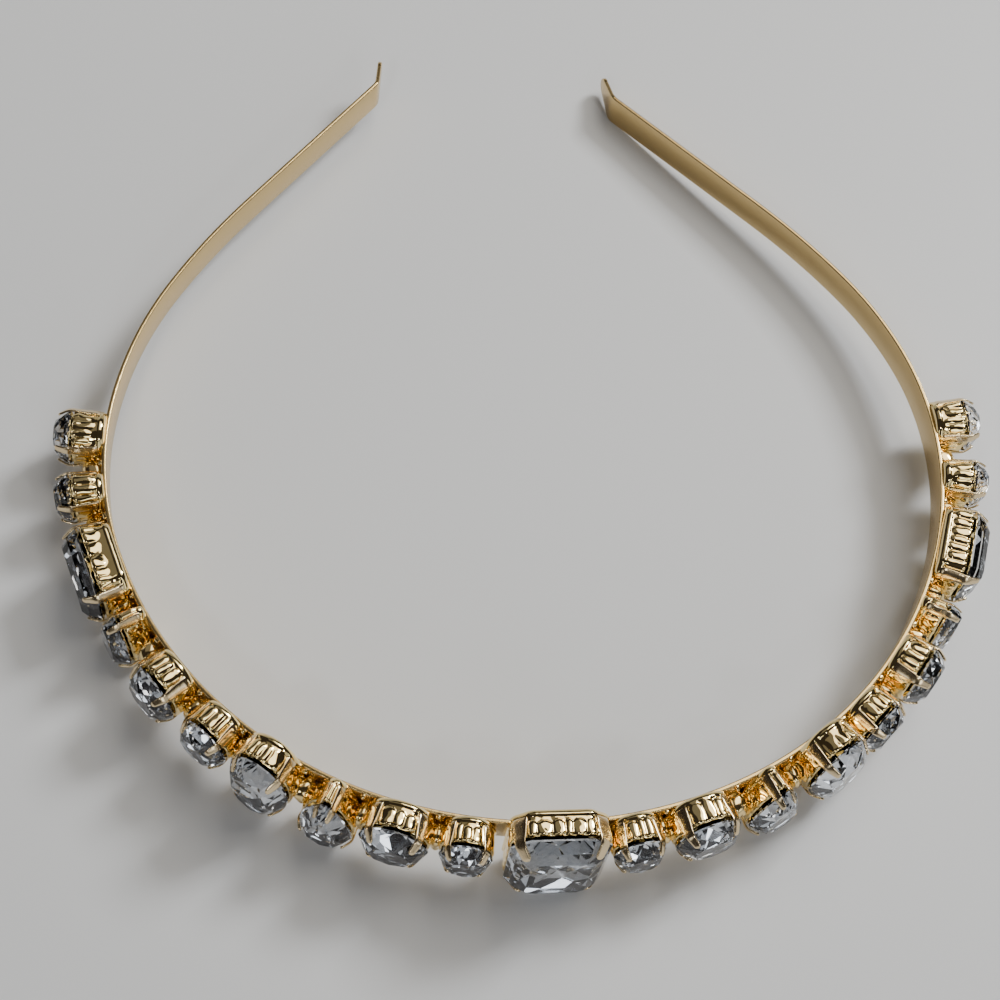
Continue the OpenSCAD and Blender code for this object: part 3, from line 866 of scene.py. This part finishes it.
def brilliant(rim, lip, crown):
    """Rings of the table, middle and edge, with star, kite and half facets between them, and the back."""
    small = min(rim.w, rim.h)
    border = BORDER_SHARE * small
    edge = lip + STONE_LIFT
    top = edge + GIRDLE + crown
    k = np.arange(8) * np.pi / 4 + np.pi / 2
    both = np.arange(16) * np.pi / 8 + np.pi / 2
    points = cut_rows(rim, [
        (k, border, top),
        (k + np.pi / 8, EDGE_INSET + STAR_BORDER * (border - EDGE_INSET), top - STAR_CROWN * crown),
        (both, EDGE_INSET, edge + GIRDLE), (both, EDGE_INSET, edge),
        (k + np.pi / 8, BELT_INSET * small, FLOOR + BELT_HEIGHT * (edge - FLOOR))])
    i, m = np.arange(8), np.arange(16)
    j, before = (i + 1) % 8, (i - 1) % 8
    mid, wide, low, belt = 8, 16, 32, 48
    a, b, n = 2 * i, 2 * i + 1, (2 * i + 2) % 16
    table, stars, kites = i[None], fan(i, mid + i, j), fan(i, mid + before, wide + a, mid + i)
    halves = [fan(mid + i, wide + a, wide + b), fan(mid + i, wide + b, wide + n)]
    edge_band = fan(wide + m, low + m, low + (m + 1) % 16, wide + (m + 1) % 16)
    front = [table, stars, kites, *halves, edge_band]
    deep, rear = pavilion(rim, k + np.pi / 8, belt, small, edge)
    rear += [fan(belt + i, low + b, low + a), fan(belt + i, low + n, low + b)]
    rear += [fan(belt + before, belt + i, low + a)]
    return np.concatenate([points, deep]), front, rear


def step_cut(rim, lip, crown):
    """Rings of eight corners: table, step and edge; the edge has twelve points, where the back starts."""
    small = min(rim.w, rim.h)
    border = BORDER_SHARE * small
    edge = lip + STONE_LIFT
    top = edge + GIRDLE + crown
    ends = np.append(rim.starts, rim.length)
    sides = [np.linspace(ends[i], ends[i + 1], 2 - i % 2, endpoint=False) for i in range(8)]
    stations = np.concatenate(sides)
    points = cut_rows(rim, [
        (rim.starts, border, top),
        (rim.starts, EDGE_INSET + MID_BORDER * (border - EDGE_INSET), top - STEP_CROWN * crown),
        (stations, EDGE_INSET, edge + GIRDLE), (stations, EDGE_INSET, edge)])
    i, m, n = np.arange(8), np.arange(len(stations)), len(stations)
    j = (i + 1) % 8
    mid, wide, low = 8, 16, 16 + n
    corner = np.searchsorted(stations, ends - HAIR)
    along = [wide + np.arange(corner[k], corner[k + 1] + 1) % n for k in range(8)]
    steps = [np.array([[mid + k, *along[k], mid + (k + 1) % 8]]) for k in range(8)]
    edge_band = fan(wide + m, low + m, low + (m + 1) % n, wide + (m + 1) % n)
    front = [i[None], fan(i, mid + i, mid + j, j), *steps, edge_band]
    deep, rear = pavilion(rim, stations, low, small, edge)
    return np.concatenate([points, deep]), front, rear


print("rows of corners in an octagon's back:", len(BACK_ROWS))

# %% [markdown]
# ## Setting the stones
# Each stone is one object with two finishes, glass in front and silver behind, and it stands for the solid
# stone of the same name. Its rim is that of its cup, moved in a little, so it sits within its claws.

# %% Make the stones
facets = 0
for name, s, (w, h, form, lift, lip, crown) in spots():
    cut = step_cut if form == "octagon" else brilliant
    points, front, rear = cut(Rim(form, w, h), lip, crown)
    slots = np.concatenate([np.zeros(count(front), dtype=int), np.ones(count(rear), dtype=int)])
    stone = new_piece("stone_" + name, on_strip(points + [0, lift, 0], s), front + rear, [glass, silver],
                      slots, smooth=False)
    node = "centre_stone" if name == "centre" else name.replace("_", "_stone_")
    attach(stone, "root")
    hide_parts(node)
    facets += len(slots)
print("stones:", 1 + 2 * len(PAIRS), "with", facets, "facets")

# %% [markdown]
# ## Floor
# A plain pale floor with a faint sheen carries the soft shadows. It is far larger than the headband, so its
# edge shows only in very low views. It isn't part of the headband.

# %% Floor
FLOOR_REACH = 2.5
floor_mesh = bpy.data.meshes.new("floor")
corners = [(x * FLOOR_REACH, y * FLOOR_REACH, 0) for x, y in ((-1, -1), (1, -1), (1, 1), (-1, 1))]
floor_mesh.from_pydata(corners, [], [(0, 1, 2, 3)])
floor = bpy.data.objects.new("floor", floor_mesh)
bpy.context.scene.collection.objects.link(floor)
pale, pale_tree, pale_shader = start_material("pale floor")
pale_shader.inputs["Base Color"].default_value = (0.76, 0.765, 0.77, 1)
pale_worn = use(pale_tree, polish, Scale=30.0, Base=0.42, Spread=0.1)
pale_tree.links.new(pale_worn.outputs["Roughness"], pale_shader.inputs["Roughness"])
floor_mesh.materials.append(pale)
print("floor:", 2 * FLOOR_REACH, "m square")

# %% [markdown]
# ## Light
# Polished gilding shows what it reflects. One even dome of light would make it a flat yellow, so soft light
# comes from large panels with dark between them: a bright ceiling to the right, a dim one to the left, pale
# walls and a few windows. They give the flutes their bright and dark bands and the stones their sparkle.

# %% Light
WHITE, WARM, COOL = (1, 1, 1), (1.0, 0.95, 0.86), (0.93, 0.97, 1.0)
MIDDLE = (0, 0, 0)
NEARLY_UPRIGHT = 0.99
ROOM_TINT, ROOM_STRENGTH = (1.0, 0.9, 0.88, 1), 0.03
# [name, place, the point it faces, width and height, brightness, tint], in metres
PANELS = (
    ("bright ceiling", (0.71, 0.8, 1.5), (0.71, 0.8, 0), (1.16, 1.6), 3.0, WARM),
    ("dim ceiling", (-0.63, 0.8, 1.5), (-0.63, 0.8, 0), (1.5, 1.6), 0.15, WHITE),
    ("front wall", (1.2, -2.4, 0.9), (0.8, 0, 0.3), (2.1, 1.5), 0.45, COOL),
    ("right window", (1.25, 0.8, 1.2), MIDDLE, (0.5, 0.5), 34, (0.96, 0.98, 1.0)),
    ("back wall", (0.0, 2.4, 0.45), (0, 0, 0.2), (3.0, 0.8), 0.35, (0.94, 0.97, 1.0)),
    ("left front window", (-1.3, -1.5, 0.6), MIDDLE, (0.3, 0.5), 1.6, COOL),
    ("front window", (0.25, -2.0, 0.9), MIDDLE, (0.5, 0.8), 2.6, COOL),
    ("right front window", (1.4, -1.0, 0.45), MIDDLE, (0.35, 0.5), 1.5, COOL),
    ("left lamp", (-0.6, -1.3, 1.4), MIDDLE, (0.2, 0.2), 25, WHITE),
    ("front lamp", (0.7, -1.2, 1.2), MIDDLE, (0.15, 0.15), 25, WHITE))


def panel(name, place, aim, size, brightness, tint):
    """Rectangular light facing a point; its power is brightness * pi * area."""
    light = bpy.data.lights.new(name, "AREA")
    light.shape, light.size, light.size_y, light.color = "RECTANGLE", size[0], size[1], tint
    light.energy = brightness * np.pi * size[0] * size[1]
    lamp = bpy.data.objects.new(name, light)
    away = np.array(place, dtype=float) - aim
    away /= np.linalg.norm(away)
    level = np.cross([0, 1, 0] if abs(away[2]) > NEARLY_UPRIGHT else [0, 0, 1], away)
    level /= np.linalg.norm(level)
    facing = np.eye(4)
    facing[:3, :4] = np.stack([level, np.cross(away, level), away, place], -1)
    lamp.matrix_world = facing.T.tolist()
    bpy.context.scene.collection.objects.link(lamp)


for values in PANELS:
    panel(*values)
world = bpy.data.worlds.new("room")
world.use_nodes = True
background = world.node_tree.nodes["Background"]
background.inputs["Color"].default_value = ROOM_TINT
background.inputs["Strength"].default_value = ROOM_STRENGTH
bpy.context.scene.world = world
print("light panels:", len(PANELS))
